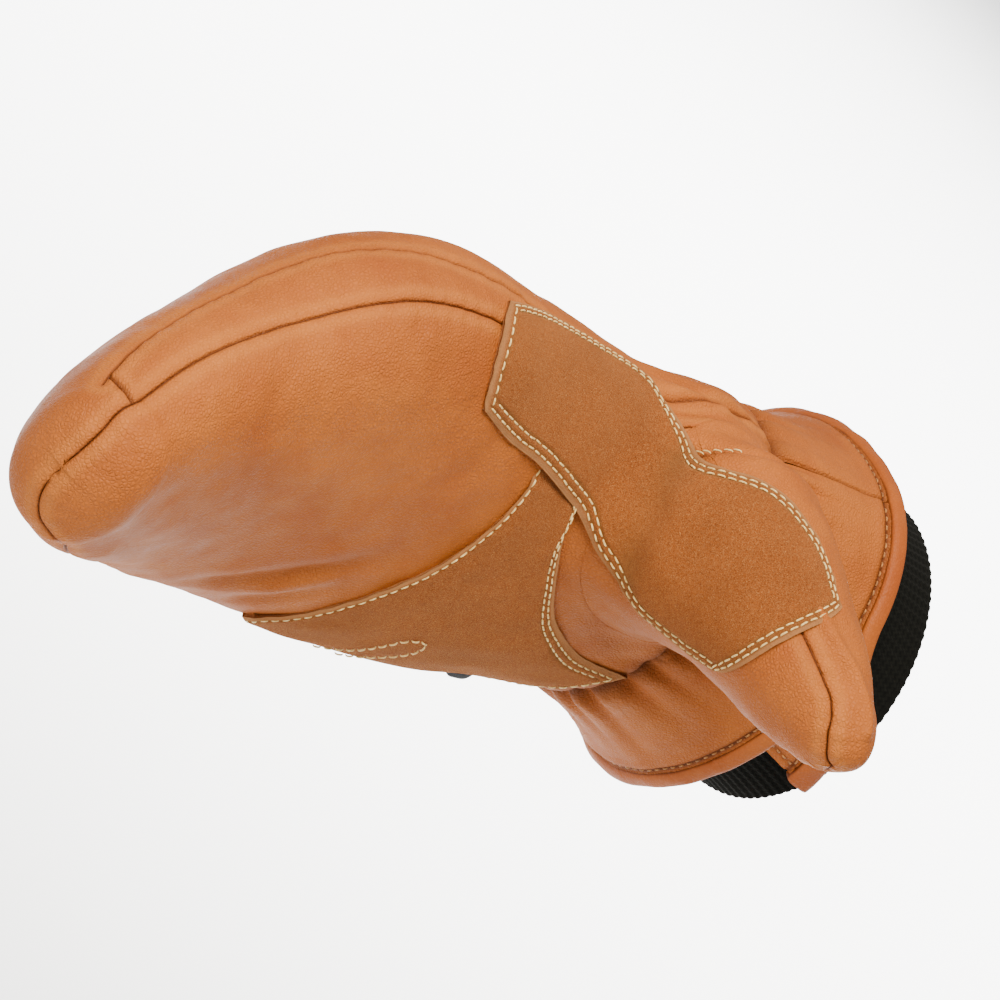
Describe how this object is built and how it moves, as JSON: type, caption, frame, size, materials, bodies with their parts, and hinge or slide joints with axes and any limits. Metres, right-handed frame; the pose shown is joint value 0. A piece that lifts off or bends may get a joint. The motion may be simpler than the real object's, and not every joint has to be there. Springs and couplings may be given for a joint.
{
  "type": "leather mitten",
  "caption": "Right-hand leather mitten in its worn form, with suede patches, a flared slit cuff and a ribbed knit wrist.",
  "frame": {"origin": "centre of the knit wrist's free end, where the wrist goes in", "axes": "+X out of the wrist opening towards the arm, so the fingers point to -X; -Y is the palm side; +Z is the thumb side"},
  "size_m": [0.2971, 0.1754, 0.1194],
  "materials": {
    "grain_leather": "satin",
    "suede": "matte",
    "binding_leather": "satin",
    "rib_knit": "matte",
    "tab_tape": "matte"
  },
  "bodies": {
    "root": {"palm_panel": "grain_leather", "index_gusset": "grain_leather", "back_panel": "grain_leather", "thumb_front_panel": "grain_leather", "thumb_back_panel": "grain_leather", "web_patch": "suede", "palm_patch": "suede", "cuff_back": "grain_leather", "cuff_palm_flap": "grain_leather", "cuff_thumb_flap": "grain_leather", "hem_binding": "binding_leather", "knit_wrist": "rib_knit", "side_tab": "tab_tape"}
  },
  "joints": []
}
